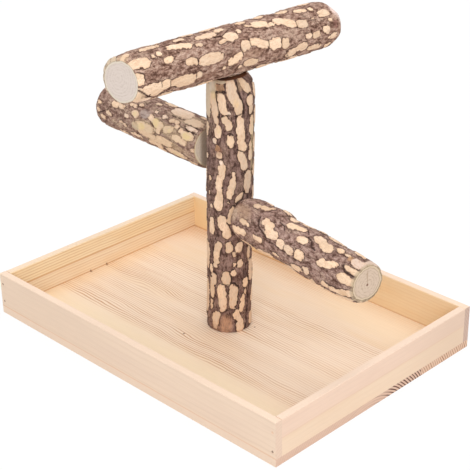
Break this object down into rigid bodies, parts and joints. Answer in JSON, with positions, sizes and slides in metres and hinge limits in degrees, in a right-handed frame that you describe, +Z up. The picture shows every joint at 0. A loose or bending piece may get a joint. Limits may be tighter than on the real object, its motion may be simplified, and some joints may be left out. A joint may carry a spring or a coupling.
{
  "type": "bird perch",
  "caption": "Free-standing wooden bird perch: a bark-covered post with branch perches screwed to its top and sides, standing in a shallow nailed tray.",
  "frame": {"origin": "centre of the tray's underside, on the base screw's axis", "axes": "+X along the tray's long side, +Y from the front long wall to the back one, +Z up"},
  "size_m": [0.3052, 0.212, 0.2484],
  "materials": {
    "base_pine": "bare planed softwood, fine straight grain",
    "pale_pine": "bare planed softwood, pale",
    "honey_pine": "bare planed softwood, honey tone",
    "pinkish_pine": "bare planed softwood, pinkish tone",
    "bark": "rough brown bark with smooth tan patches, sawn ends pale",
    "screw_steel": "bright zinc",
    "brad_steel": "dull steel"
  },
  "bodies": {
    "tray": {"base_wide_stave": "base_pine", "base_narrow_stave": "base_pine", "front_long_wall": "pale_pine", "back_long_wall": "honey_pine", "left_wall_lower_strip": "pale_pine", "left_wall_upper_strip": "honey_pine", "right_wall_lower_strip": "pale_pine", "right_wall_upper_strip": "pinkish_pine", "corner_brads": "brad_steel", "base_brads": "brad_steel"},
    "upright": {"post": "bark", "base_screw": "screw_steel", "top_dowel_screw": "screw_steel", "left_dowel_screw": "screw_steel", "right_dowel_screw": "screw_steel"},
    "top_branch": {"top_perch": "bark"},
    "left_branch": {"left_perch": "bark"},
    "right_branch": {"right_perch": "bark"}
  },
  "joints": [
    {"name": "post_turn", "type": "hinge", "parent": "tray", "child": "upright", "pos_m": [0, 0, 0.006], "axis": [0, 0, 1], "continuous": true},
    {"name": "top_perch_turn", "type": "hinge", "parent": "upright", "child": "top_branch", "pos_m": [0.00326, 0.00326, 0.2094], "axis": [0, 0, 1], "range_deg": [-180, 180]},
    {"name": "left_perch_turn", "type": "hinge", "parent": "upright", "child": "left_branch", "pos_m": [0.00227, 0.00227, 0.1474], "axis": [-0.9976, 0.0698, 0], "range_deg": [-180, 180]},
    {"name": "right_perch_turn", "type": "hinge", "parent": "upright", "child": "right_branch", "pos_m": [0.00158, 0.00158, 0.1044], "axis": [0.989, -0.1478, 0], "range_deg": [-180, 180]}
  ]
}
